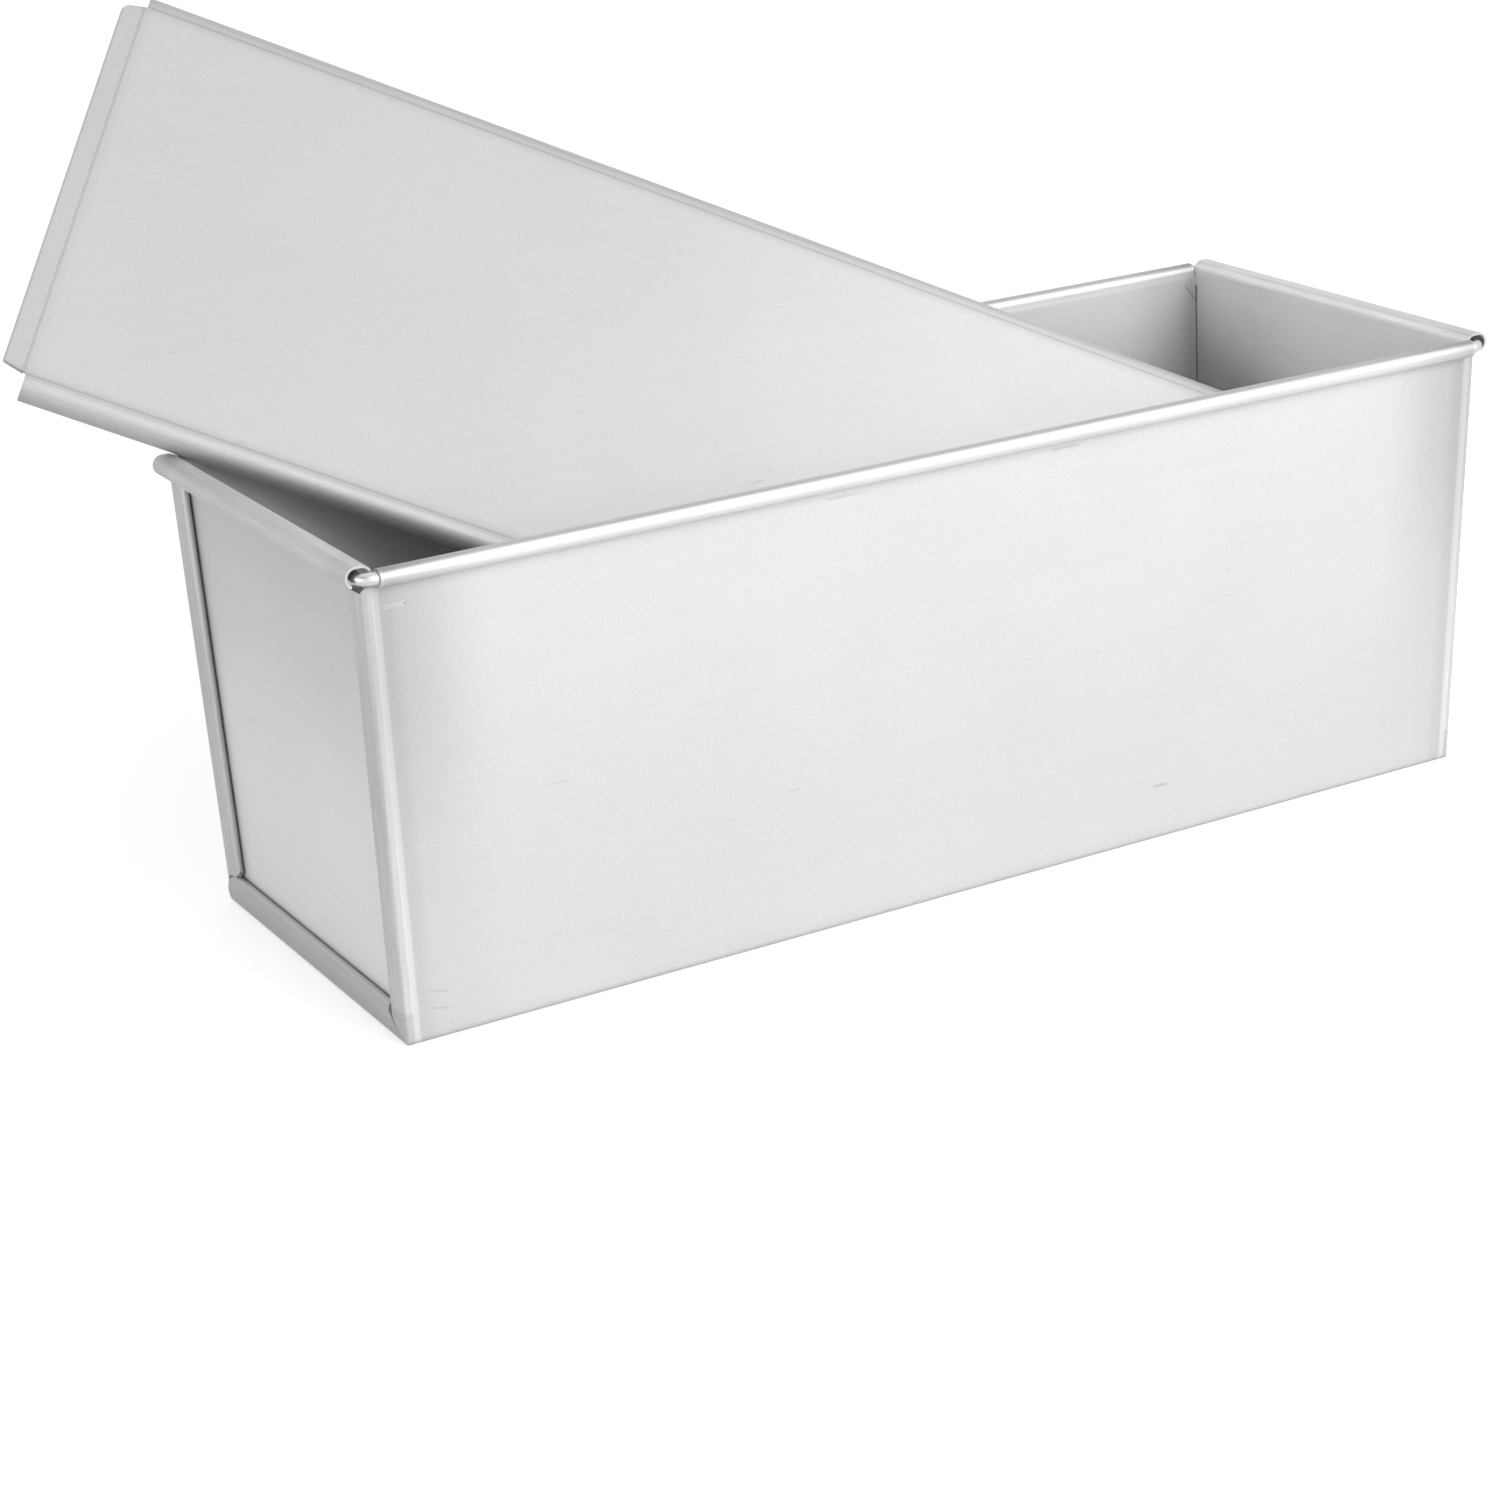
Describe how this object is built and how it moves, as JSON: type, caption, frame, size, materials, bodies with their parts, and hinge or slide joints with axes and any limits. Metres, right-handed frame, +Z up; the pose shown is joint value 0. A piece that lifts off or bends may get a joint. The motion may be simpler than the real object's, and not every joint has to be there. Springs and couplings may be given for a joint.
{
  "type": "pullman loaf pan",
  "caption": "Deep rectangular loaf pan folded from steel sheet, with lock-seamed ends, a wired rim and a flat lid with rolled rails that leans askew across it.",
  "frame": {"origin": "centre of the underside of the pan's bottom, at floor level", "axes": "+X along the pan to its right end, +Y to the rear wall that the lid leans over, +Z up"},
  "size_m": [0.3542, 0.2056, 0.2174],
  "materials": {
    "shell_sheet": "matte aluminised steel sheet",
    "end_sheet": "matte aluminised steel sheet",
    "wire": "drawn steel wire",
    "lid_sheet": "matte aluminised steel sheet"
  },
  "bodies": {
    "pan": {"body_shell": "shell_sheet", "left_end_panel": "end_sheet", "right_end_panel": "end_sheet", "rim_wire": "wire"},
    "lid": {"lid": "lid_sheet"}
  },
  "joints": [
    {"name": "lid_lift", "type": "slide", "parent": "pan", "child": "lid", "axis": [0, 0, 1], "range_m": [0, 0.125]}
  ]
}
